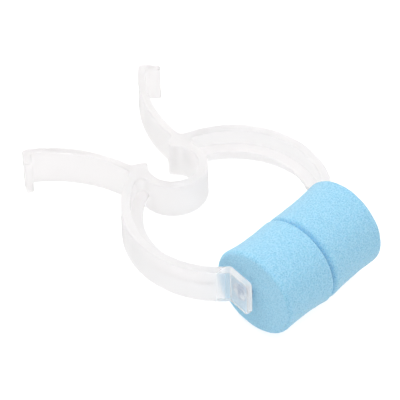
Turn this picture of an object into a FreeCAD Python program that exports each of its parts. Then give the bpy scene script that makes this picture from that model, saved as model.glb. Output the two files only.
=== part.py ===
import FreeCAD, Part
import math
import os

# A nose clip: one springy plastic moulding that holds two foam pads.
#
# Millimetres.  The origin is the gripping point between the two pads, at half
# the height of the moulding.  X is the clamping direction and x = 0 is the
# mirror plane of the moulding.  Y runs from the pads to the finger levers and
# Z is the direction in which the flat outline of the moulding is extruded.
#
# The moulding is one piece of plastic.  It is cut into five solids where the
# spring bow bends, so that the bending can be followed by hinges: the bow, a
# limb on each side of it, and an arm on each side.  Everything is drawn for
# the right-hand side (x > 0) and mirrored for the left.

# ---- driving dimensions --------------------------------------------------

FRAME_HEIGHT = 7.1

# Spring bow: an open ring that joins the two arms.
BOW_CENTRE = (0.0, 30.0)
BOW_INNER_RADIUS = 4.5
BOW_WALL = 1.72
BOW_HINGE_ANGLE = -62.0        # bow to limb, seen from the bow's centre
LIMB_HINGE_ANGLE = -12.0       # limb to arm
HORN_ANGLE = 50.7              # where the inner wall of the bow ends

# Junction of bow, lever and jaw.
HORN_TIP = (3.1, 34.35)        # the two horns meet when the levers are squeezed
HORN_TIP_ROUND = 0.35
INNER_NOTCH_ANGLE = 173.6      # on the lever's inner edge, beside the horn
INNER_NOTCH_ROUND = 0.9
OUTER_NOTCH_ROUND = 1.3
BOW_NOTCH_ROUND = 1.1

# Finger lever: a strip bent to a wide arc, with a tab turned out at its end.
LEVER_CENTRE = (30.5, 32.5)
LEVER_INNER_EDGE = 25.42       # radius of the edge that faces the other lever
LEVER_WALL = 1.38
LEVER_TIP_ANGLE = 126.9
TAB_LENGTH = 4.1
TAB_THICKNESS = 1.4
TAB_BEND_ROUND = 0.8
TAB_INSIDE_ROUND = 0.5
TAB_END_ROUND = 0.3

# Jaw: a strip bent to an arc, with a thin stiffening web along its inner face.
JAW_CENTRE = (1.38, 17.12)
JAW_OUTER_RADIUS = 17.74
JAW_WALL = 1.66
WEB_HEIGHT = 0.8
WEB_EDGE_RADIUS = 13.9         # its free edge runs parallel to the jaw
WEB_START_ANGLE = -38.0        # where the web rises out of the jaw's wall
WEB_FULL_ANGLE = -28.0         # from here on it has its full depth
WEB_END_ANGLE = 72.0           # here it is inside the wall of the bow

# Pad plate: the flat end of the jaw that the pad is glued to.
PLATE_CREASE = (12.2, 4.6)     # a place on the side of the pad, near the crease
PLATE_THICKNESS = 1.2
PLATE_LENGTH = 5.8
PLATE_TILT = 8.5               # degrees, so that the free end stands off the pad
PLATE_CORNER_ROUND = 0.9

# Foam pads: short cylinders along X, slightly waisted, meeting at the seam.
PAD_RADIUS = 8.5
PAD_WAIST = 0.25               # how far the side is drawn in at mid length
PAD_FACE_X = 12.05             # outer face of each pad
PAD_SEAM_X = -1.3              # the seam lies to the left of the mirror plane
PAD_SEAM_GAP = 0.04            # between the two pads at rest
PAD_OUTER_ROUND = 0.8
LEFT_SEAM_ROUND = 0.25
RIGHT_SEAM_ROUND = 0.9
LEFT_PAD_LEAN = 3.2            # degrees, the seam end of the pad leaning towards -Y
RIGHT_PAD_LEAN = 2.2

# Adhesive dab between plate and pad.
DAB_RADIUS = 1.9
DAB_CLEARANCE = 0.01
DAB_PLACE = 0.55               # share of the way along the plate, from its crease

# ---- helpers -------------------------------------------------------------

JAW_INNER_RADIUS = JAW_OUTER_RADIUS - JAW_WALL
BOW_OUTER_RADIUS = BOW_INNER_RADIUS + BOW_WALL
LEVER_OUTER_EDGE = LEVER_INNER_EDGE - LEVER_WALL
TOUCHING = 1e-3                # two places this close are the same place


def point(xy, z=0.0):
    return FreeCAD.Vector(xy[0], xy[1], z)


def direction(degrees):
    return (math.cos(math.radians(degrees)), math.sin(math.radians(degrees)))


def polar(centre, radius, degrees):
    along = direction(degrees)
    return (centre[0] + radius * along[0], centre[1] + radius * along[1])


def shifted(start, along, distance):
    return (start[0] + along[0] * distance, start[1] + along[1] * distance)


def angle_at(centre, place):
    return math.degrees(math.atan2(place[1] - centre[1], place[0] - centre[0]))


def upper_crossing(centre_a, radius_a, centre_b, radius_b):
    """Of the two points where two circles cross, the one with the higher Y."""
    gap = math.dist(centre_a, centre_b)
    along = (radius_a ** 2 - radius_b ** 2 + gap ** 2) / (2.0 * gap)
    across = math.sqrt(radius_a ** 2 - along ** 2)
    unit = ((centre_b[0] - centre_a[0]) / gap, (centre_b[1] - centre_a[1]) / gap)
    foot = shifted(centre_a, unit, along)
    pair = [shifted(foot, (-unit[1], unit[0]), side * across) for side in (-1, 1)]
    return max(pair, key=lambda place: place[1])


def line_circle_crossing(start, along, centre, radius):
    """First point along a line, going forwards or back, that is on a circle."""
    away = (start[0] - centre[0], start[1] - centre[1])
    half = away[0] * along[0] + away[1] * along[1]
    rest = away[0] ** 2 + away[1] ** 2 - radius ** 2
    root = math.sqrt(half ** 2 - rest)
    distance = min((-half - root, -half + root), key=abs)
    return shifted(start, along, distance)


def line(start, end):
    return Part.makeLine(point(start), point(end))


def arc_through(start, middle, end):
    return Part.Arc(point(start), point(middle), point(end)).toShape()


def arc(centre, radius, first, last):
    middle = polar(centre, radius, (first + last) / 2.0)
    return arc_through(polar(centre, radius, first), middle, polar(centre, radius, last))


def slab(edges, height=FRAME_HEIGHT):
    """Extrude a closed outline to a height centred on z = 0."""
    face = Part.Face(Part.Wire(Part.__sortEdges__(edges)))
    face.translate(FreeCAD.Vector(0, 0, -height / 2.0))
    return face.extrude(FreeCAD.Vector(0, 0, height))


def round_upright(solid, place, radius):
    """Round the upright edge that stands at a place of the outline."""
    near = [
        edge for edge in solid.Edges
        if abs(edge.Length - FRAME_HEIGHT) < TOUCHING
        and all(math.dist((v.X, v.Y), place) < TOUCHING for v in edge.Vertexes)
    ]
    return solid.makeFillet(radius, near)


def mirrored(shape):
    return shape.mirror(FreeCAD.Vector(0, 0, 0), FreeCAD.Vector(1, 0, 0))


def ring_sector(centre, inner, outer, first, last):
    return slab([
        arc(centre, inner, first, last),
        line(polar(centre, inner, last), polar(centre, outer, last)),
        arc(centre, outer, first, last),
        line(polar(centre, inner, first), polar(centre, outer, first)),
    ])


# ---- the moulding --------------------------------------------------------

def spring_bow():
    """Middle of the bow, between the hinges of the two limbs."""
    left_hinge_angle = -180.0 - BOW_HINGE_ANGLE
    return ring_sector(
        BOW_CENTRE, BOW_INNER_RADIUS, BOW_OUTER_RADIUS, left_hinge_angle, BOW_HINGE_ANGLE)


def bow_limb():
    """Side of the bow, between the bow's middle and the arm."""
    return ring_sector(
        BOW_CENTRE, BOW_INNER_RADIUS, BOW_OUTER_RADIUS, BOW_HINGE_ANGLE, LIMB_HINGE_ANGLE)


def plate_outline():
    """Corners of the pad plate: inner and outer crease, outer and inner end."""
    along = direction(-90.0 + PLATE_TILT)
    outward = direction(PLATE_TILT)
    guide_outer = shifted(PLATE_CREASE, outward, PLATE_THICKNESS)
    crease_inner = line_circle_crossing(PLATE_CREASE, along, JAW_CENTRE, JAW_INNER_RADIUS)
    crease_outer = line_circle_crossing(guide_outer, along, JAW_CENTRE, JAW_OUTER_RADIUS)
    end_inner = shifted(crease_inner, along, PLATE_LENGTH)
    end_outer = shifted(end_inner, outward, PLATE_THICKNESS)
    return crease_inner, crease_outer, end_outer, end_inner


def lever_tip():
    """Corners of the tab: bend, end, inner end, and where it meets the lever."""
    inward = direction(LEVER_TIP_ANGLE + 180.0)
    back = direction(LEVER_TIP_ANGLE + 90.0)
    bend = polar(LEVER_CENTRE, LEVER_INNER_EDGE, LEVER_TIP_ANGLE)
    end = shifted(bend, inward, TAB_LENGTH)
    end_back = shifted(end, back, TAB_THICKNESS)
    root_guide = shifted(shifted(bend, back, TAB_THICKNESS), inward, LEVER_WALL)
    root = line_circle_crossing(root_guide, inward, LEVER_CENTRE, LEVER_OUTER_EDGE)
    return bend, end, end_back, root


def clamp_arm():
    """Finger lever, junction with its horn, jaw and pad plate, all in one."""
    cut_inner = polar(BOW_CENTRE, BOW_INNER_RADIUS, LIMB_HINGE_ANGLE)
    cut_outer = polar(BOW_CENTRE, BOW_OUTER_RADIUS, LIMB_HINGE_ANGLE)
    horn_foot = polar(BOW_CENTRE, BOW_INNER_RADIUS, HORN_ANGLE)
    inner_notch = polar(LEVER_CENTRE, LEVER_INNER_EDGE, INNER_NOTCH_ANGLE)
    bend, tab_end, tab_end_back, tab_root = lever_tip()
    outer_notch = upper_crossing(
        LEVER_CENTRE, LEVER_OUTER_EDGE, JAW_CENTRE, JAW_OUTER_RADIUS)
    bow_notch = upper_crossing(
        BOW_CENTRE, BOW_OUTER_RADIUS, JAW_CENTRE, JAW_INNER_RADIUS)
    crease_inner, crease_outer, plate_end_outer, plate_end_inner = plate_outline()

    def lever_angle(place):
        return angle_at(LEVER_CENTRE, place)

    def jaw_angle(place):
        return angle_at(JAW_CENTRE, place)

    arm = slab([
        arc(BOW_CENTRE, BOW_INNER_RADIUS, LIMB_HINGE_ANGLE, HORN_ANGLE),
        line(horn_foot, HORN_TIP),
        line(HORN_TIP, inner_notch),
        arc(LEVER_CENTRE, LEVER_INNER_EDGE, INNER_NOTCH_ANGLE, LEVER_TIP_ANGLE),
        line(bend, tab_end),
        line(tab_end, tab_end_back),
        line(tab_end_back, tab_root),
        arc(LEVER_CENTRE, LEVER_OUTER_EDGE, lever_angle(tab_root), lever_angle(outer_notch)),
        arc(JAW_CENTRE, JAW_OUTER_RADIUS, jaw_angle(outer_notch), jaw_angle(crease_outer)),
        line(crease_outer, plate_end_outer),
        line(plate_end_outer, plate_end_inner),
        line(plate_end_inner, crease_inner),
        arc(JAW_CENTRE, JAW_INNER_RADIUS, jaw_angle(crease_inner), jaw_angle(bow_notch)),
        arc(BOW_CENTRE, BOW_OUTER_RADIUS, angle_at(BOW_CENTRE, bow_notch), LIMB_HINGE_ANGLE),
        line(cut_outer, cut_inner),
    ])
    for place, radius in (
            (HORN_TIP, HORN_TIP_ROUND),
            (inner_notch, INNER_NOTCH_ROUND),
            (outer_notch, OUTER_NOTCH_ROUND),
            (bow_notch, BOW_NOTCH_ROUND),
            (bend, TAB_BEND_ROUND),
            (tab_root, TAB_INSIDE_ROUND),
            (tab_end, TAB_END_ROUND),
            (tab_end_back, TAB_END_ROUND)):
        arm = round_upright(arm, place, radius)
    arm = round_plate_corners(arm, plate_end_inner)
    return arm.fuse(jaw_web()).removeSplitter()


def round_plate_corners(arm, end_inner):
    """Round the two corners of the plate's free end, seen along X."""
    corners = [
        edge for edge in arm.Edges
        if abs(edge.Length - PLATE_THICKNESS) < TOUCHING
        and any(math.dist((v.X, v.Y), end_inner) < TOUCHING for v in edge.Vertexes)
    ]
    return arm.makeFillet(PLATE_CORNER_ROUND, corners)


def jaw_web():
    """Thin web at half height that stiffens the jaw and fills its corner with the bow."""
    root_radius = JAW_INNER_RADIUS + JAW_WALL / 2.0
    root_start = polar(JAW_CENTRE, root_radius, WEB_START_ANGLE)
    wall_start = polar(JAW_CENTRE, JAW_INNER_RADIUS, WEB_START_ANGLE)
    full_start = polar(JAW_CENTRE, WEB_EDGE_RADIUS, WEB_FULL_ANGLE)
    full_end = polar(JAW_CENTRE, WEB_EDGE_RADIUS, WEB_END_ANGLE)
    return slab([
        arc(JAW_CENTRE, root_radius, WEB_START_ANGLE, WEB_END_ANGLE),
        line(root_start, wall_start),
        line(wall_start, full_start),
        arc(JAW_CENTRE, WEB_EDGE_RADIUS, WEB_FULL_ANGLE, WEB_END_ANGLE),
        line(full_end, polar(JAW_CENTRE, root_radius, WEB_END_ANGLE)),
    ], WEB_HEIGHT)


# ---- pads and adhesive ---------------------------------------------------

def round_rim(pad, end_x, radius):
    """Round the rim of the flat face that lies at end_x."""
    rim = [
        edge for edge in pad.Edges
        if abs(edge.BoundBox.XMin - end_x) < TOUCHING and abs(edge.BoundBox.XMax - end_x) < TOUCHING
    ]
    return pad.makeFillet(radius, rim)


def foam_pad(seam_x, face_x, seam_round, lean):
    """Waisted pad, leaning a little, cut square at the seam and at the outer face."""
    outward = math.copysign(1.0, face_x - seam_x)
    middle_x = (seam_x + face_x) / 2.0
    half_length = abs(face_x - seam_x) / 2.0
    reach = half_length + PAD_RADIUS * math.sin(math.radians(lean)) + 1.0
    drawn_in = PAD_WAIST * (reach / half_length) ** 2
    rim_radius = PAD_RADIUS - PAD_WAIST + drawn_in
    profile = Part.Face(Part.Wire(Part.__sortEdges__([
        line((-reach, 0.0), (-reach, rim_radius)),
        arc_through((-reach, rim_radius), (0.0, PAD_RADIUS - PAD_WAIST), (reach, rim_radius)),
        line((reach, rim_radius), (reach, 0.0)),
        line((reach, 0.0), (-reach, 0.0)),
    ])))
    pad = profile.revolve(FreeCAD.Vector(0, 0, 0), FreeCAD.Vector(1, 0, 0), 360.0)
    pad.rotate(FreeCAD.Vector(0, 0, 0), FreeCAD.Vector(0, 0, 1), outward * lean)
    pad.translate(FreeCAD.Vector(middle_x, 0, 0))
    between = Part.makeBox(
        2.0 * half_length, 4.0 * PAD_RADIUS, 4.0 * PAD_RADIUS,
        FreeCAD.Vector(min(seam_x, face_x), -2.0 * PAD_RADIUS, -2.0 * PAD_RADIUS))
    pad = pad.common(between)
    pad = round_rim(pad, face_x, PAD_OUTER_ROUND)
    return round_rim(pad, seam_x, seam_round)


def adhesive_dab():
    """Glue between the pad's outer face and the tilted plate."""
    crease_inner, _, _, end_inner = plate_outline()
    middle_y = crease_inner[1] * (1.0 - DAB_PLACE) + end_inner[1] * DAB_PLACE
    start_x = PAD_FACE_X + DAB_CLEARANCE
    rod = Part.makeCylinder(
        DAB_RADIUS, PLATE_THICKNESS, FreeCAD.Vector(start_x, middle_y, 0), FreeCAD.Vector(1, 0, 0))
    reach = 4.0 * PLATE_THICKNESS
    outward = direction(PLATE_TILT)
    face_start = shifted(crease_inner, outward, -DAB_CLEARANCE)
    face_end = shifted(end_inner, outward, -DAB_CLEARANCE)
    behind_face = slab([
        line(face_start, face_end),
        line(face_end, shifted(face_end, outward, reach)),
        line(shifted(face_end, outward, reach), shifted(face_start, outward, reach)),
        line(shifted(face_start, outward, reach), face_start),
    ])
    return rod.cut(behind_face)


# ---- export --------------------------------------------------------------

def build():
    limb = bow_limb()
    arm = clamp_arm()
    dab = adhesive_dab()
    return {
        "spring_bow": spring_bow(),
        "right_bow_limb": limb,
        "left_bow_limb": mirrored(limb),
        "right_clamp_arm": arm,
        "left_clamp_arm": mirrored(arm),
        "right_foam_pad": foam_pad(
            PAD_SEAM_X + PAD_SEAM_GAP / 2.0, PAD_FACE_X, RIGHT_SEAM_ROUND, RIGHT_PAD_LEAN),
        "left_foam_pad": foam_pad(
            PAD_SEAM_X - PAD_SEAM_GAP / 2.0, -PAD_FACE_X, LEFT_SEAM_ROUND, LEFT_PAD_LEAN),
        "right_adhesive_dab": dab,
        "left_adhesive_dab": mirrored(dab),
    }


os.makedirs("parts", exist_ok=True)
for node, shape in build().items():
    solid = shape.Solids[0]
    solid.exportStep(f"parts/{node}.step")
    print(node, "solids", len(shape.Solids), "valid", solid.isValid(), "mm3", round(solid.Volume, 3))
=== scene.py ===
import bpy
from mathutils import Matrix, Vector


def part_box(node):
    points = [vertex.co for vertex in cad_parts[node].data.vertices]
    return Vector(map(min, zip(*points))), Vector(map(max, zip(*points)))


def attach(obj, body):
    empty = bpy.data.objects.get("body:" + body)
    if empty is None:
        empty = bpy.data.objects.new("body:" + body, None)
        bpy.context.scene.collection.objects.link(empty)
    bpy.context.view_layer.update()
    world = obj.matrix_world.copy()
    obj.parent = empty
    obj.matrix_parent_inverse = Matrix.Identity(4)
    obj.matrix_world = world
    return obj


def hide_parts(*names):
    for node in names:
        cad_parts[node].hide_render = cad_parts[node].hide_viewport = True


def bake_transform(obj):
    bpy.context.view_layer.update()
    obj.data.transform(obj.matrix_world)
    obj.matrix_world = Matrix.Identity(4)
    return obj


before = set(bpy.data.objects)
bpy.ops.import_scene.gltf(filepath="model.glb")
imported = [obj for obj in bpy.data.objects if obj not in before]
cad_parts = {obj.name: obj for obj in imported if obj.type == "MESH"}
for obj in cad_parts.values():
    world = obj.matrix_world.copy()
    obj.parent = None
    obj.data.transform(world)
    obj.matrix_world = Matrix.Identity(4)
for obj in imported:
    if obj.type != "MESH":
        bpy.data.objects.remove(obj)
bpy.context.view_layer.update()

import math

import bmesh
import bpy
import numpy as np
from mathutils import Matrix, Vector, noise

# A nose clip: a translucent plastic moulding with two foam pads.  Lengths are
# written in millimetres and turned into metres where meshes are made.
MM = 0.001

# ---- places taken from the frame -----------------------------------------


def box_mm(node):
    """Lowest and highest corner of a CAD node, in millimetres."""
    return [np.array(corner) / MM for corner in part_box(node)]


bow_low = box_mm("spring_bow")[0]
arm_low, arm_high = box_mm("right_clamp_arm")
pad_boxes = {side: box_mm(side + "_foam_pad") for side in ("left", "right")}
dab_low, dab_high = box_mm("right_adhesive_dab")

HALF_HEIGHT = arm_high[2]
BOW_CENTRE = np.array([0.0, 30.0])
BOW_INNER = 4.5
BOW_OUTER = BOW_CENTRE[1] - bow_low[1]
JAW_CENTRE = np.array([1.38, 17.12])
JAW_INNER = 16.08
JAW_WALL = 1.66

# The moulding is shown in three pieces a side.  They meet at these angles on
# the bow, where the plastic follows one body only.  The bends lie between.
LIMB_SEAM = -37.0
ARM_SEAM = 1.0

# Rounding of the moulding.
EDGE_ROUND = 0.17
EDGE_STEPS = 4
FLAT_MARGIN = 0.04
POINT_SPACING = 0.16
SMOOTHING_ROUNDS = 3
PLATE_TILT = 8.5
PLATE_CORNER = 0.9
CORNER_SHARES = (0.0, 0.28, 0.55)    # rows on the way round the plate's corner
PLATE_SHAPED = 1.7             # how much of the plate's length the corners bend
PLATE_MARGIN = 0.5             # a little more of the plate is looked at than bent

# Thin web along the inner side of each jaw.
WEB_HALF = 0.4
WEB_ROUND = 0.16
WEB_EDGE_RADIUS = 13.9
WEB_START, WEB_FULL, WEB_END = -38.0, -28.0, 72.0
WEB_SLOPE_POINTS = 16
WEB_ARC_POINTS = 180
WEB_EDGE_STEPS = 4

# Limits used when meshes are cut and joined.
SHARP_ANGLE = 0.6              # radians between faces that meet in a crease
LEVEL = 0.9999                 # a face whose normal is this upright is level
TOP_SHARE = 0.98               # share of the half height above which a face is a top face
SAME_PLACE = 1e-7              # metres between two points that count as one
CUT_TOLERANCE = 1e-8           # metres from the cutting plane
SHORTEST_STEP = 1e-6           # millimetres; shorter steps of an outline are left out


# ---- outline of the moulding ---------------------------------------------

def polar(centre, radius, degrees):
    angle = np.radians(degrees)
    return np.stack([centre[0] + radius * np.cos(angle), centre[1] + radius * np.sin(angle)], -1)


def section_loop(node, height):
    """Ordered outline of a CAD node where a level plane cuts it, in mm."""
    bm = bmesh.new()
    bm.from_mesh(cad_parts[node].data)
    bmesh.ops.remove_doubles(bm, verts=bm.verts, dist=SAME_PLACE)
    everything = bm.verts[:] + bm.edges[:] + bm.faces[:]
    cut = bmesh.ops.bisect_plane(
        bm, geom=everything, dist=CUT_TOLERANCE, plane_co=(0, 0, height * MM), plane_no=(0, 0, 1))
    near = {}
    for part in cut["geom_cut"]:
        if isinstance(part, bmesh.types.BMEdge):
            first, second = part.verts
            near.setdefault(first, []).append(second)
            near.setdefault(second, []).append(first)
    start = next(iter(near))
    loop, last, here = [start], None, start
    while True:
        step = [v for v in near[here] if v is not last][0]
        if step is start:
            break
        loop.append(step)
        last, here = here, step
    places = np.array([(v.co.x, v.co.y) for v in loop]) / MM
    bm.free()
    return places


def run_between(loop, first, last, through):
    """Stretch of a closed outline from first to last that passes through a place."""
    i = int(np.argmin(np.linalg.norm(loop - first, axis=1)))
    turned = np.roll(loop, -i, axis=0)
    j = int(np.argmin(np.linalg.norm(turned - last, axis=1)))
    forward, backward = turned[:j + 1], np.vstack([turned[:1], turned[:j - 1:-1]])
    reach = [np.linalg.norm(run - through, axis=1).min() for run in (forward, backward)]
    return forward if reach[0] < reach[1] else backward


def step_lengths(run):
    return np.linalg.norm(np.diff(run, axis=0), axis=1)


def resampled(run):
    """The same line with points at an even spacing."""
    run = run[np.concatenate([[True], step_lengths(run) > SHORTEST_STEP])]
    along = np.concatenate([[0.0], np.cumsum(step_lengths(run))])
    count = int(round(along[-1] / POINT_SPACING)) + 1
    marks = np.linspace(0.0, along[-1], count)
    return np.stack([np.interp(marks, along, run[:, k]) for k in (0, 1)], -1)


def smoothed(run):
    run = run.copy()
    for _ in range(SMOOTHING_ROUNDS):
        run[1:-1] = 0.25 * run[:-2] + 0.5 * run[1:-1] + 0.25 * run[2:]
    return run


def bow_arc(radius, first, last):
    """Points on the bow's wall; inner and outer wall get the same number."""
    count = int(abs(last - first) / 360.0 * math.tau * BOW_OUTER / POINT_SPACING) + 2
    return polar(BOW_CENTRE, radius, np.linspace(first, last, count))


def arm_run():
    """Outline of the right arm from its outer seam round to its inner seam."""
    level = 0.5 * (WEB_HALF + HALF_HEIGHT - PLATE_CORNER)
    loop = section_loop("right_clamp_arm", level)
    tip = loop[np.argmax(loop[:, 1])]
    seam_outer = polar(BOW_CENTRE, BOW_OUTER, ARM_SEAM)
    seam_inner = polar(BOW_CENTRE, BOW_INNER, ARM_SEAM)
    run = run_between(loop, seam_outer, seam_inner, tip)
    run[0], run[-1] = seam_outer, seam_inner
    return smoothed(resampled(run))


def outline_normals(run, first_tangent, last_tangent):
    """Outward normals of a run that keeps the plastic on its left-hand side."""
    tangent = np.gradient(run, axis=0)
    tangent[0], tangent[-1] = first_tangent, last_tangent
    tangent /= np.linalg.norm(tangent, axis=1)[:, None]
    return np.stack([tangent[:, 1], -tangent[:, 0]], -1)


# ---- solid pieces of the moulding ----------------------------------------

def level_rows():
    """Heights of the wall's rows with their inset from the outline."""
    corner_start = HALF_HEIGHT - PLATE_CORNER
    rows = [(0.0, 0.0), (0.5 * corner_start, 0.0)]
    for share in CORNER_SHARES:
        rows.append((corner_start + share * PLATE_CORNER, 0.0))
    for step in range(EDGE_STEPS + 1):
        turn = 0.5 * math.pi * step / EDGE_STEPS
        rise = HALF_HEIGHT - EDGE_ROUND + EDGE_ROUND * math.sin(turn)
        rows.append((rise, EDGE_ROUND * (1.0 - math.cos(turn))))
    rows.append((HALF_HEIGHT, EDGE_ROUND + FLAT_MARGIN))
    return [(-rise, inset) for rise, inset in rows[:0:-1]] + rows


def plate_shift(run, height):
    """Draws the plate's free end back near its two rounded corners."""
    along = np.array([math.sin(math.radians(PLATE_TILT)), -math.cos(math.radians(PLATE_TILT))])
    end = (run @ along).max()
    on_plate = (run[:, 1] < arm_low[1] + PLATE_SHAPED + PLATE_MARGIN) & (run[:, 0] < JAW_INNER)
    from_end = end - run @ along
    over = min(max(abs(height) - (HALF_HEIGHT - PLATE_CORNER), 0.0), PLATE_CORNER)
    back = PLATE_CORNER - math.sqrt(PLATE_CORNER ** 2 - over ** 2)
    share = np.where(on_plate, np.clip(1.0 - from_end / PLATE_SHAPED, 0.0, 1.0), 0.0)
    return -along * (back * share)[:, None]


def wall_grid(run, normals, shaped):
    """Positions of the wall, one column for each outline point."""
    columns = []
    for height, inset in level_rows():
        place = run - normals * inset
        if shaped:
            place = place + plate_shift(run, height)
        columns.append(np.column_stack([place, np.full(len(run), height)]))
    return np.stack(columns, 1)


def web_rim():
    """Inset and height of the points round the web's free edge."""
    profile = []
    for step in range(WEB_EDGE_STEPS + 1):
        turn = 0.5 * math.pi * step / WEB_EDGE_STEPS
        inset = WEB_ROUND * (1.0 - math.sin(turn))
        profile.append((inset, WEB_HALF - WEB_ROUND * (1.0 - math.cos(turn))))
    return profile + [(inset, -height) for inset, height in profile[::-1]]


def web_mesh(mirror):
    """Flat web with a rounded free edge; its root lies inside the jaw's wall."""
    start = polar(JAW_CENTRE, JAW_INNER, WEB_START)
    slope = np.linspace(start, polar(JAW_CENTRE, WEB_EDGE_RADIUS, WEB_FULL), WEB_SLOPE_POINTS)
    arc_angles = np.linspace(WEB_FULL, WEB_END, WEB_ARC_POINTS)[1:]
    edge = smoothed(np.vstack([slope, polar(JAW_CENTRE, WEB_EDGE_RADIUS, arc_angles)]))
    away = edge - JAW_CENTRE
    angles = np.degrees(np.arctan2(away[:, 1], away[:, 0]))
    root = polar(JAW_CENTRE, JAW_INNER + 0.5 * JAW_WALL, angles)
    inward = np.gradient(edge, axis=0)
    inward /= np.linalg.norm(inward, axis=1)[:, None]
    inward = np.stack([-inward[:, 1], inward[:, 0]], -1)
    rings = [np.column_stack([root, np.full(len(root), WEB_HALF)])]
    for inset, height in web_rim():
        place = edge - inward * inset
        rings.append(np.column_stack([place, np.full(len(edge), height)]))
    rings.append(np.column_stack([root, np.full(len(root), -WEB_HALF)]))
    grid = np.stack(rings, 1) * MM
    if mirror:
        grid[..., 0] *= -1.0
    columns, rows = grid.shape[:2]
    faces = []
    for column in range(columns - 1):
        for row in range(rows):
            after = (row + 1) % rows
            faces.append((column * rows + row, (column + 1) * rows + row,
                          (column + 1) * rows + after, column * rows + after))
    faces.append(list(range(rows)))
    faces.append([(columns - 1) * rows + row for row in range(rows)][::-1])
    bm = bmesh.new()
    verts = [bm.verts.new(place) for place in grid.reshape(-1, 3).tolist()]
    for face in faces:
        bm.faces.new([verts[k] for k in face])
    bmesh.ops.recalc_face_normals(bm, faces=bm.faces)
    mesh = bpy.data.meshes.new("web")
    bm.to_mesh(mesh)
    bm.free()
    return mesh


def united(piece, mesh):
    """Adds a mesh to a piece as one solid."""
    tool = add_piece("tool", mesh)
    union = piece.modifiers.new("union", "BOOLEAN")
    union.operation = "UNION"
    union.solver = "EXACT"
    union.object = tool
    whole = bpy.data.meshes.new_from_object(
        piece.evaluated_get(bpy.context.evaluated_depsgraph_get()))
    piece.modifiers.clear()
    piece.data = whole
    bpy.data.objects.remove(tool)
    mark_creases(whole)


def mark_creases(mesh):
    """Sharp edges between faces at an angle, and flat level faces."""
    bm = bmesh.new()
    bm.from_mesh(mesh)
    for edge in bm.edges:
        if len(edge.link_faces) == 2 and edge.calc_face_angle() > SHARP_ANGLE:
            edge.smooth = False
    for face in bm.faces:
        face.smooth = face.material_index == 0 and abs(face.normal.z) < LEVEL
    bm.to_mesh(mesh)
    bm.free()


def assemble(name, grids, mirror):
    """Closed mesh from one or two stretches of wall, with plain seam faces.

    The faces on the seams get the second material, which shows nothing, so
    that neighbouring pieces read as one plastic part.
    """
    rows = grids[0].shape[1]
    starts = np.cumsum([0] + [len(grid) for grid in grids]) * rows
    places = np.concatenate([grid.reshape(-1, 3) for grid in grids]) * MM
    if mirror:
        places[:, 0] *= -1.0

    def index(run, column, row):
        return int(starts[run] + (column % len(grids[run])) * rows + row)

    faces, seam_faces = [], []
    for run, grid in enumerate(grids):
        for column in range(len(grid) - 1):
            for row in range(rows - 1):
                faces.append((index(run, column, row), index(run, column + 1, row),
                              index(run, column + 1, row + 1), index(run, column, row + 1)))
    if len(grids) == 2:
        last = len(grids[0]) - 1
        for row in (0, rows - 1):
            for column in range(last):
                quad = [index(0, column, row), index(0, column + 1, row),
                        index(1, last - column - 1, row), index(1, last - column, row)]
                faces.append(quad if row else quad[::-1])
    else:
        ring = range(len(grids[0]))
        faces.append([index(0, column, rows - 1) for column in ring])
        faces.append([index(0, column, 0) for column in ring][::-1])
    for run in range(len(grids)):
        after = (run + 1) % len(grids)
        up = [index(run, -1, row) for row in range(rows)]
        down = [index(after, 0, row) for row in range(rows)][::-1]
        seam_faces.append(up[::-1] + down[::-1])
    mesh = bpy.data.meshes.new(name)
    mesh.from_pydata(places.tolist(), [], faces + seam_faces)
    mesh.validate()
    finish_moulding_mesh(mesh, len(seam_faces), mirror)
    return add_piece(name, mesh)


def finish_moulding_mesh(mesh, seam_count, mirror):
    """Marks the seam faces, cuts up the large faces and sets the shading."""
    bm = bmesh.new()
    bm.from_mesh(mesh)
    bm.faces.ensure_lookup_table()
    seams = bm.faces[len(bm.faces) - seam_count:]
    for face in seams:
        face.material_index = 1
    if mirror:
        bmesh.ops.reverse_faces(bm, faces=bm.faces)
    big = [face for face in bm.faces if len(face.verts) > 4 and face.material_index == 0]
    bmesh.ops.triangulate(bm, faces=big, quad_method="BEAUTY", ngon_method="BEAUTY")
    for face in bm.faces:
        high = abs(face.calc_center_median().z) > TOP_SHARE * HALF_HEIGHT * MM
        level = abs(face.normal.z) > LEVEL and high
        face.smooth = face.material_index == 0 and not level
    for edge in bm.edges:
        if any(face.material_index == 1 for face in edge.link_faces):
            edge.smooth = False
    bm.to_mesh(mesh)
    bm.free()


def add_piece(name, mesh):
    piece = bpy.data.objects.new(name, mesh)
    bpy.context.scene.collection.objects.link(piece)
    return piece


# ---- materials -----------------------------------------------------------

WHITE = (1.0, 1.0, 1.0, 1.0)
CLEAR_PLASTIC = (0.99, 0.975, 0.975, 1.0)
MILKY_PLASTIC = (0.97, 0.95, 0.95, 1.0)
MILKINESS, MILKINESS_AT_GLUE = 0.22, 0.19
PLASTIC_ROUGHNESS, ROUGHNESS_AT_GLUE = 0.28, 0.2
PLASTIC_GLOW = 0.065           # stands in for light scattered on inside the plastic
GLUE_REACH = (5.4, 6.6)        # from the plate's end: glue wets the plate, then stops


def new_material(name):
    material = bpy.data.materials.new(name)
    material.use_nodes = True
    nodes = material.node_tree.nodes
    return material, nodes, material.node_tree.links, nodes["Principled BSDF"]


def colour_ramp(nodes, low_place, low_colour, high_place, high_colour):
    ramp = nodes.new("ShaderNodeValToRGB")
    low, high = ramp.color_ramp.elements
    low.position, low.color = low_place, low_colour
    high.position, high.color = high_place, high_colour
    return ramp


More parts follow.
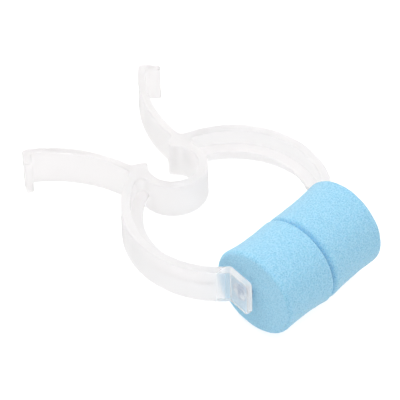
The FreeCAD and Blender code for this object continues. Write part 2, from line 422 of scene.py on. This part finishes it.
def along_plate(nodes, links, places, on_plate, elsewhere):
    """Value that changes from the glued pad plate to the rest of the moulding."""
    ramp = nodes.new("ShaderNodeMapRange")
    ramp.inputs["From Min"].default_value = (arm_low[1] + GLUE_REACH[0]) * MM
    ramp.inputs["From Max"].default_value = (arm_low[1] + GLUE_REACH[1]) * MM
    ramp.inputs["To Min"].default_value = on_plate
    ramp.inputs["To Max"].default_value = elsewhere
    links.new(places.outputs["Y"], ramp.inputs["Value"])
    return ramp.outputs["Result"]


def plastic_material():
    """Natural polypropylene: mostly clear, partly milky, with a satin skin."""
    material, nodes, links, shader = new_material("natural_polypropylene")
    coordinates = nodes.new("ShaderNodeTexCoord")
    grain = nodes.new("ShaderNodeTexNoise")
    grain.inputs["Scale"].default_value = 2200.0
    grain.inputs["Detail"].default_value = 3.0
    bump = nodes.new("ShaderNodeBump")
    bump.inputs["Strength"].default_value = 0.06
    bump.inputs["Distance"].default_value = 0.02 * MM
    links.new(coordinates.outputs["Object"], grain.inputs["Vector"])
    links.new(grain.outputs["Fac"], bump.inputs["Height"])

    shader.inputs["Base Color"].default_value = CLEAR_PLASTIC
    places = nodes.new("ShaderNodeSeparateXYZ")
    links.new(coordinates.outputs["Object"], places.inputs["Vector"])
    roughness = along_plate(nodes, links, places, ROUGHNESS_AT_GLUE, PLASTIC_ROUGHNESS)
    links.new(roughness, shader.inputs["Roughness"])
    shader.inputs["IOR"].default_value = 1.49
    shader.inputs["Transmission Weight"].default_value = 1.0
    front = nodes.new("ShaderNodeBsdfDiffuse")
    back = nodes.new("ShaderNodeBsdfTranslucent")
    milk = nodes.new("ShaderNodeMixShader")
    whole = nodes.new("ShaderNodeMixShader")
    links.new(along_plate(nodes, links, places, MILKINESS_AT_GLUE, MILKINESS), whole.inputs["Fac"])
    for milky in (front, back):
        milky.inputs["Color"].default_value = MILKY_PLASTIC
        links.new(bump.outputs["Normal"], milky.inputs["Normal"])
    links.new(bump.outputs["Normal"], shader.inputs["Normal"])
    links.new(front.outputs["BSDF"], milk.inputs[1])
    links.new(back.outputs["BSDF"], milk.inputs[2])
    links.new(shader.outputs["BSDF"], whole.inputs[1])
    links.new(milk.outputs["Shader"], whole.inputs[2])
    glow = nodes.new("ShaderNodeEmission")
    glow.inputs["Strength"].default_value = PLASTIC_GLOW
    total = nodes.new("ShaderNodeAddShader")
    links.new(whole.outputs["Shader"], total.inputs[0])
    links.new(glow.outputs["Emission"], total.inputs[1])
    links.new(total.outputs["Shader"], nodes["Material Output"].inputs["Surface"])
    return material


def seam_material():
    """Invisible, for the cuts between pieces of the one moulding."""
    material, nodes, links, shader = new_material("inside_the_plastic")
    clear = nodes.new("ShaderNodeBsdfTransparent")
    links.new(clear.outputs["BSDF"], nodes["Material Output"].inputs["Surface"])
    nodes.remove(shader)
    return material


FOAM_DARK = (0.29, 0.62, 0.83, 1.0)
FOAM_LIGHT = (0.41, 0.727, 0.93, 1.0)
# painted shade: colour of the darker dots that stand for the shade inside the foam's pores
PORE_SHADE_COLOUR = (0.55, 0.65, 0.75, 1.0)


def foam_material():
    """Open-cell polyurethane foam, light blue, with fine pores whose hollows are painted darker as
    shade.
    """
    material, nodes, links, shader = new_material("blue_foam")
    shader.inputs["Roughness"].default_value = 0.95
    shader.inputs["Specular IOR Level"].default_value = 0.15
    shader.inputs["Sheen Weight"].default_value = 0.25
    shader.inputs["Sheen Roughness"].default_value = 0.6
    shader.inputs["Subsurface Weight"].default_value = 0.25
    shader.inputs["Subsurface Radius"].default_value = (0.5, 0.8, 1.0)
    shader.inputs["Subsurface Scale"].default_value = 0.8 * MM
    coordinates = nodes.new("ShaderNodeTexCoord")
    cells = nodes.new("ShaderNodeTexVoronoi")
    cells.inputs["Scale"].default_value = 3600.0
    cloud = nodes.new("ShaderNodeTexNoise")
    cloud.inputs["Scale"].default_value = 3400.0
    cloud.inputs["Detail"].default_value = 3.0
    for texture in (cells, cloud):
        links.new(coordinates.outputs["Object"], texture.inputs["Vector"])
    tint = colour_ramp(nodes, 0.36, FOAM_DARK, 0.64, FOAM_LIGHT)
    # painted shade: darker dots near the Voronoi cell centres stand for the shade inside the pores
    pores = colour_ramp(nodes, 0.1, PORE_SHADE_COLOUR, 0.42, WHITE)
    mix = nodes.new("ShaderNodeMix")
    mix.data_type = "RGBA"
    mix.blend_type = "MULTIPLY"
    mix.inputs["Factor"].default_value = 0.7
    links.new(cloud.outputs["Fac"], tint.inputs["Fac"])
    links.new(cells.outputs["Distance"], pores.inputs["Fac"])
    links.new(tint.outputs["Color"], mix.inputs["A"])
    links.new(pores.outputs["Color"], mix.inputs["B"])
    links.new(mix.outputs["Result"], shader.inputs["Base Color"])
    bump = nodes.new("ShaderNodeBump")
    bump.inputs["Strength"].default_value = 0.7
    bump.inputs["Distance"].default_value = 0.15 * MM
    links.new(cloud.outputs["Fac"], bump.inputs["Height"])
    links.new(bump.outputs["Normal"], shader.inputs["Normal"])
    return material


GLUE_DARK = (0.05, 0.22, 0.48, 1.0)
GLUE_LIGHT = (0.75, 0.90, 0.98, 1.0)


def adhesive_material():
    """Dried glue, in cloudy patches from deep blue to whitish."""
    material, nodes, links, shader = new_material("adhesive")
    shader.inputs["Roughness"].default_value = 0.4
    coordinates = nodes.new("ShaderNodeTexCoord")
    cloud = nodes.new("ShaderNodeTexNoise")
    cloud.inputs["Scale"].default_value = 700.0
    cloud.inputs["Detail"].default_value = 3.0
    tint = colour_ramp(nodes, 0.42, GLUE_DARK, 0.62, GLUE_LIGHT)
    links.new(coordinates.outputs["Object"], cloud.inputs["Vector"])
    links.new(cloud.outputs["Fac"], tint.inputs["Fac"])
    links.new(tint.outputs["Color"], shader.inputs["Base Color"])
    return material


plastic = plastic_material()
inside = seam_material()
foam = foam_material()
adhesive = adhesive_material()


# ---- build the moulding --------------------------------------------------


def moulding_side(side_name, side):
    """One half of the moulding: half of the bow, its flank, and arm with lever."""
    outer = [bow_arc(BOW_OUTER, -90.0, LIMB_SEAM), bow_arc(BOW_OUTER, LIMB_SEAM, ARM_SEAM)]
    inner = [bow_arc(BOW_INNER, LIMB_SEAM, -90.0), bow_arc(BOW_INNER, ARM_SEAM, LIMB_SEAM)]
    mirror = side < 0

    def radial_grid(run, outward):
        away = (run - BOW_CENTRE) / np.linalg.norm(run - BOW_CENTRE, axis=1)[:, None]
        return wall_grid(run, away * outward, False)

    bow = assemble(
        f"bow_{side_name}_half", [radial_grid(outer[0], 1.0), radial_grid(inner[0], -1.0)], mirror)
    limb = assemble(
        f"bow_{side_name}_flank", [radial_grid(outer[1], 1.0), radial_grid(inner[1], -1.0)], mirror)
    run = arm_run()
    start_tangent = polar((0.0, 0.0), 1.0, ARM_SEAM + 90.0)
    normals = outline_normals(run, start_tangent, -start_tangent)
    arm = assemble(f"{side_name}_arm_and_lever", [wall_grid(run, normals, True)], mirror)
    for piece in (bow, limb, arm):
        piece.data.materials.append(plastic)
        piece.data.materials.append(inside)
    web = web_mesh(mirror)
    web.materials.append(plastic)
    united(arm, web)
    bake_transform(bow)
    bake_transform(limb)
    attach(arm, f"{side_name}_arm")
    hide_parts("spring_bow")
    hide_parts(f"{side_name}_bow_limb")
    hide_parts(f"{side_name}_clamp_arm")


# ---- foam pads -----------------------------------------------------------

PAD_RADIUS = 8.5
PAD_WAIST = 0.25
PAD_OUTER_ROUND = 0.8
PAD_SEAM_ROUND = {"left": 0.25, "right": 0.9}
PAD_LEAN = {"left": 3.2, "right": 1.5}    # the right pad is straighter than its CAD solid
PAD_SHIFT = {"left": 0.0, "right": -0.2}  # along Y, where the CAD solids have none
SEAM_DIP = {"left": 0.0, "right": 1.5}
SEAM_DIP_REACH = 0.75
PAD_STEPS_ROUND = 300
PAD_STEP = 0.18
PAD_WAVE = 0.07                # soft unevenness of cut foam
PAD_PORE = 0.035               # height of single pores
WAVE_SCALE, PORE_SCALE, FINE_PORE_SCALE = 0.35, 3.1, 6.5
FINE_PORE_SHARE = 0.6
WAVE_MIDDLE, PORE_MIDDLE = 0.4, 0.5
SEAM_CALM = 0.6                # the unevenness fades out this close to the seam
SEAM_ROUND_POINTS, OUTER_ROUND_POINTS = 6, 14


def pad_profile(length, seam_round, seam_dip):
    """Points (distance from the seam, radius) from the seam face's centre round."""
    flat_seam = PAD_RADIUS - seam_round
    flat_face = PAD_RADIUS - PAD_OUTER_ROUND
    points = [(0.0, r) for r in np.arange(PAD_STEP, flat_seam, PAD_STEP)]
    for turn in np.linspace(0.0, 0.5 * math.pi, SEAM_ROUND_POINTS):
        points.append((seam_round * (1 - math.cos(turn)), flat_seam + seam_round * math.sin(turn)))
    side_length = length - seam_round - PAD_OUTER_ROUND
    for share in np.linspace(0.0, 1.0, int(side_length / PAD_STEP))[1:-1]:
        waist = PAD_WAIST * (1.0 - (2.0 * share - 1.0) ** 2)
        points.append((seam_round + share * side_length, PAD_RADIUS - waist))
    for turn in np.linspace(0.0, 0.5 * math.pi, OUTER_ROUND_POINTS):
        points.append((length - PAD_OUTER_ROUND * (1 - math.sin(turn)),
                       flat_face + PAD_OUTER_ROUND * math.cos(turn)))
    points += [(length, r) for r in np.arange(flat_face - PAD_STEP, PAD_STEP, -PAD_STEP)]
    drawn = [seam_dip * (r / PAD_RADIUS) * math.exp(-(x / SEAM_DIP_REACH) ** 2) for x, r in points]
    return [(x, r - d) for (x, r), d in zip(points, drawn)]


def foam_pad(side_name, side):
    """Short round pad that leans a little, with a soft uneven surface."""
    low, high = pad_boxes[side_name]
    seam_x, face_x = (low[0], high[0]) if side > 0 else (high[0], low[0])
    length = abs(face_x - seam_x)
    profile = pad_profile(length, PAD_SEAM_ROUND[side_name], SEAM_DIP[side_name])
    bm = bmesh.new()
    rings = []
    lean = math.tan(math.radians(PAD_LEAN[side_name]))
    for distance, radius in profile:
        middle_y = PAD_SHIFT[side_name] + lean * (distance - length / 2.0)
        ring = []
        for step in range(PAD_STEPS_ROUND):
            turn = math.tau * step / PAD_STEPS_ROUND
            place = Vector((seam_x + side * distance, middle_y + radius * math.cos(turn),
                            radius * math.sin(turn)))
            ring.append(bm.verts.new(place))
        rings.append(ring)
    for first, second in zip(rings, rings[1:]):
        for step in range(PAD_STEPS_ROUND):
            after = (step + 1) % PAD_STEPS_ROUND
            bm.faces.new((first[step], second[step], second[after], first[after]))
    for ring, distance in ((rings[0], 0.0), (rings[-1], length)):
        middle_y = PAD_SHIFT[side_name] + lean * (distance - length / 2.0)
        centre = bm.verts.new((seam_x + side * distance, middle_y, 0.0))
        for step in range(PAD_STEPS_ROUND):
            bm.faces.new((ring[step], ring[(step + 1) % PAD_STEPS_ROUND], centre))
    bmesh.ops.recalc_face_normals(bm, faces=bm.faces)
    bm.normal_update()
    moves = []
    for vert in bm.verts:
        place = vert.co
        wave = noise.noise(place * WAVE_SCALE + Vector((side * 9.0, 4.0, 2.0)))
        pores = noise.noise(place * PORE_SCALE) + FINE_PORE_SHARE * noise.noise(place * FINE_PORE_SCALE)
        free = min(1.0, abs(place.x - seam_x) / SEAM_CALM)
        rise = PAD_WAVE * (wave - WAVE_MIDDLE) + PAD_PORE * (pores - PORE_MIDDLE)
        moves.append(vert.normal * free * rise)
    for vert, move in zip(bm.verts, moves):
        vert.co = (vert.co + move) * MM
    for face in bm.faces:
        face.smooth = True
    mesh = bpy.data.meshes.new(side_name + "_pad")
    bm.to_mesh(mesh)
    bm.free()
    mesh.materials.append(foam)
    pad = add_piece(side_name + "_pad", mesh)
    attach(pad, side_name + "_arm")
    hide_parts(side_name + "_foam_pad")


# ---- adhesive dabs -------------------------------------------------------

DAB_STEPS, DAB_LAYERS = 64, 6


def adhesive_dab(side_name, side):
    """Squeezed-out blob between the pad's face and the tilted plate."""
    middle_y = (dab_low[1] + dab_high[1]) / 2.0
    radius = (dab_high[1] - dab_low[1]) / 2.0
    tilt = math.tan(math.radians(PLATE_TILT))
    bm = bmesh.new()
    rings = []
    for layer in range(DAB_LAYERS + 1):
        share = layer / DAB_LAYERS
        ring = []
        for step in range(DAB_STEPS):
            turn = math.tau * step / DAB_STEPS
            wobble = 0.93 + 0.05 * math.sin(3 * turn + 0.6) + 0.03 * math.sin(5 * turn + 2.0)
            reach = radius * wobble * (1.0 - 0.12 * math.sin(math.pi * share))
            y = middle_y + reach * math.cos(turn)
            z = reach * 0.9 * math.sin(turn)
            thickness = dab_high[0] - dab_low[0] - tilt * (y - dab_low[1])
            x = side * (dab_low[0] + share * thickness)
            ring.append(bm.verts.new((x * MM, y * MM, z * MM)))
        rings.append(ring)
    for first, second in zip(rings, rings[1:]):
        for step in range(DAB_STEPS):
            after = (step + 1) % DAB_STEPS
            bm.faces.new((first[step], second[step], second[after], first[after]))
    bm.faces.new(rings[0])
    bm.faces.new(rings[-1][::-1])
    bmesh.ops.recalc_face_normals(bm, faces=bm.faces)
    mesh = bpy.data.meshes.new(side_name + "_glue")
    bm.to_mesh(mesh)
    bm.free()
    mesh.materials.append(adhesive)
    dab = add_piece(side_name + "_glue", mesh)
    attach(dab, side_name + "_arm")
    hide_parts(side_name + "_adhesive_dab")


for side_name, side in (("right", 1.0), ("left", -1.0)):
    moulding_side(side_name, side)
    foam_pad(side_name, side)
    adhesive_dab(side_name, side)


# ---- floor, light and camera ---------------------------------------------

TAB_REACH = arm_high[1] - 0.4  # the floor follows the pads and the lever tabs
PAD_GAP = 0.05                 # between the pads and the plane they would rest on
OPENING_ROOM = 0.65            # more than the pads and tabs dip as the clip opens
FLOOR_SIZE = 3.0               # metres to each side
FLOOR_GLOW_SEEN = 0.88
FLOOR_GLOW_GIVEN = 0.5         # less light from below than the white table shows
FLOOR_SHADE = 0.88             # how much of the glow is left right under the clip
FLOOR_SHADE_REACH = 3.0
FLOOR_SHADE_FULL = 0.45        # share of open sky at which the shade is full


def add_floor():
    """White table, tilted as the clip would lie on it and a little below the clip."""
    lift = PAD_RADIUS + PAD_GAP
    tilt = math.asin(lift / math.hypot(TAB_REACH, HALF_HEIGHT)) - math.atan(HALF_HEIGHT / TAB_REACH)
    up = Vector((0.0, -math.sin(tilt), math.cos(tilt)))
    mesh = bpy.data.meshes.new("floor")
    corners = [(-1, -1), (1, -1), (1, 1), (-1, 1)]
    mesh.from_pydata([(x * FLOOR_SIZE, y * FLOOR_SIZE, 0) for x, y in corners], [], [(0, 1, 2, 3)])
    floor = add_piece("floor", mesh)
    floor.rotation_euler = (tilt, 0.0, 0.0)
    floor.location = -up * (lift + OPENING_ROOM) * MM
    material, nodes, links, shader = new_material("white_table")
    shader.inputs["Base Color"].default_value = (0.35, 0.35, 0.35, 1.0)
    shader.inputs["Roughness"].default_value = 0.9
    shader.inputs["Emission Color"].default_value = WHITE
    rays = nodes.new("ShaderNodeLightPath")
    glow = nodes.new("ShaderNodeMapRange")
    glow.inputs["To Min"].default_value = FLOOR_GLOW_GIVEN
    glow.inputs["To Max"].default_value = FLOOR_GLOW_SEEN
    links.new(rays.outputs["Is Camera Ray"], glow.inputs["Value"])
    # painted shadow: ambient occlusion dims the table's glow where the clip is close above it
    near = nodes.new("ShaderNodeAmbientOcclusion")
    near.inputs["Distance"].default_value = FLOOR_SHADE_REACH * MM
    shade = nodes.new("ShaderNodeMapRange")
    shade.inputs["From Min"].default_value = FLOOR_SHADE_FULL
    shade.inputs["To Min"].default_value = FLOOR_SHADE
    share = nodes.new("ShaderNodeMath")
    share.operation = "MULTIPLY"
    links.new(near.outputs["AO"], shade.inputs["Value"])
    links.new(glow.outputs["Result"], share.inputs[0])
    links.new(shade.outputs["Result"], share.inputs[1])
    links.new(share.outputs["Value"], shader.inputs["Emission Strength"])
    mesh.materials.append(material)


SKY_TOWARDS = (0.4, -0.6, 0.6)    # where the soft light is strongest
SKY_WEAK, SKY_STRONG = 0.52, 0.95


def add_world():
    """Soft light from all round, stronger from the right, the front and above."""
    world = bpy.data.worlds.new("studio")
    world.use_nodes = True
    nodes, links = world.node_tree.nodes, world.node_tree.links
    coordinates = nodes.new("ShaderNodeTexCoord")
    facing = nodes.new("ShaderNodeVectorMath")
    facing.operation = "DOT_PRODUCT"
    facing.inputs[1].default_value = SKY_TOWARDS
    strength = nodes.new("ShaderNodeMapRange")
    strength.inputs["From Min"].default_value = -1.0
    strength.inputs["To Min"].default_value = SKY_WEAK
    strength.inputs["To Max"].default_value = SKY_STRONG
    links.new(coordinates.outputs["Generated"], facing.inputs[0])
    links.new(facing.outputs["Value"], strength.inputs["Value"])
    rays = nodes.new("ShaderNodeLightPath")
    seen = nodes.new("ShaderNodeMath")         # the camera sees plain white
    seen.operation = "MAXIMUM"
    links.new(strength.outputs["Result"], seen.inputs[0])
    links.new(rays.outputs["Is Camera Ray"], seen.inputs[1])
    links.new(seen.outputs["Value"], nodes["Background"].inputs["Strength"])
    nodes["Background"].inputs["Color"].default_value = WHITE
    bpy.context.scene.world = world


KEY_PLACE = (-0.15, 0.25, 0.6)    # metres
KEY_AIM = (0.0, 0.02, 0.0)
KEY_SIZE = 0.4
KEY_POWER = 1.6                # watts


def add_key_light():
    """Large soft lamp above the clip, a little behind it and to its left."""
    data = bpy.data.lights.new("key", "AREA")
    data.shape = "DISK"
    data.size = KEY_SIZE
    data.energy = KEY_POWER
    light = bpy.data.objects.new("key", data)
    bpy.context.scene.collection.objects.link(light)
    light.location = KEY_PLACE
    light.rotation_euler = (Vector(KEY_AIM) - Vector(KEY_PLACE)).to_track_quat("-Z", "Y").to_euler()


CAMERA_ANGLES = (-46.4, 44.1, -1.54)    # azimuth, elevation and roll, in degrees
CAMERA_DISTANCE = 0.5556       # metres
CAMERA_AIM = (0.0, 21.0, 0.0)
CAMERA_SLIDE = (-1.92, 0.21)   # to the right and up, in the picture
CAMERA_LENS = 283.0


def add_camera():
    azimuth, elevation, roll = (math.radians(angle) for angle in CAMERA_ANGLES)
    back = Vector((math.sin(azimuth) * math.cos(elevation),
                   -math.cos(azimuth) * math.cos(elevation), math.sin(elevation)))
    right = Vector((math.cos(azimuth), math.sin(azimuth), 0.0))
    up = back.cross(right)
    right, up = (right * math.cos(roll) + up * math.sin(roll),
                 up * math.cos(roll) - right * math.sin(roll))
    aim = (Vector(CAMERA_AIM) + right * CAMERA_SLIDE[0] + up * CAMERA_SLIDE[1]) * MM
    data = bpy.data.cameras.new("camera")
    data.lens = CAMERA_LENS
    data.clip_start, data.clip_end = 0.01, 10.0
    camera = bpy.data.objects.new("camera", data)
    bpy.context.scene.collection.objects.link(camera)
    turn = Matrix((right, up, back)).transposed().to_4x4()
    camera.matrix_world = Matrix.Translation(aim + back * CAMERA_DISTANCE) @ turn
    bpy.context.scene.camera = camera


add_floor()
add_world()
add_key_light()
add_camera()
bpy.context.scene.view_settings.view_transform = "Standard"
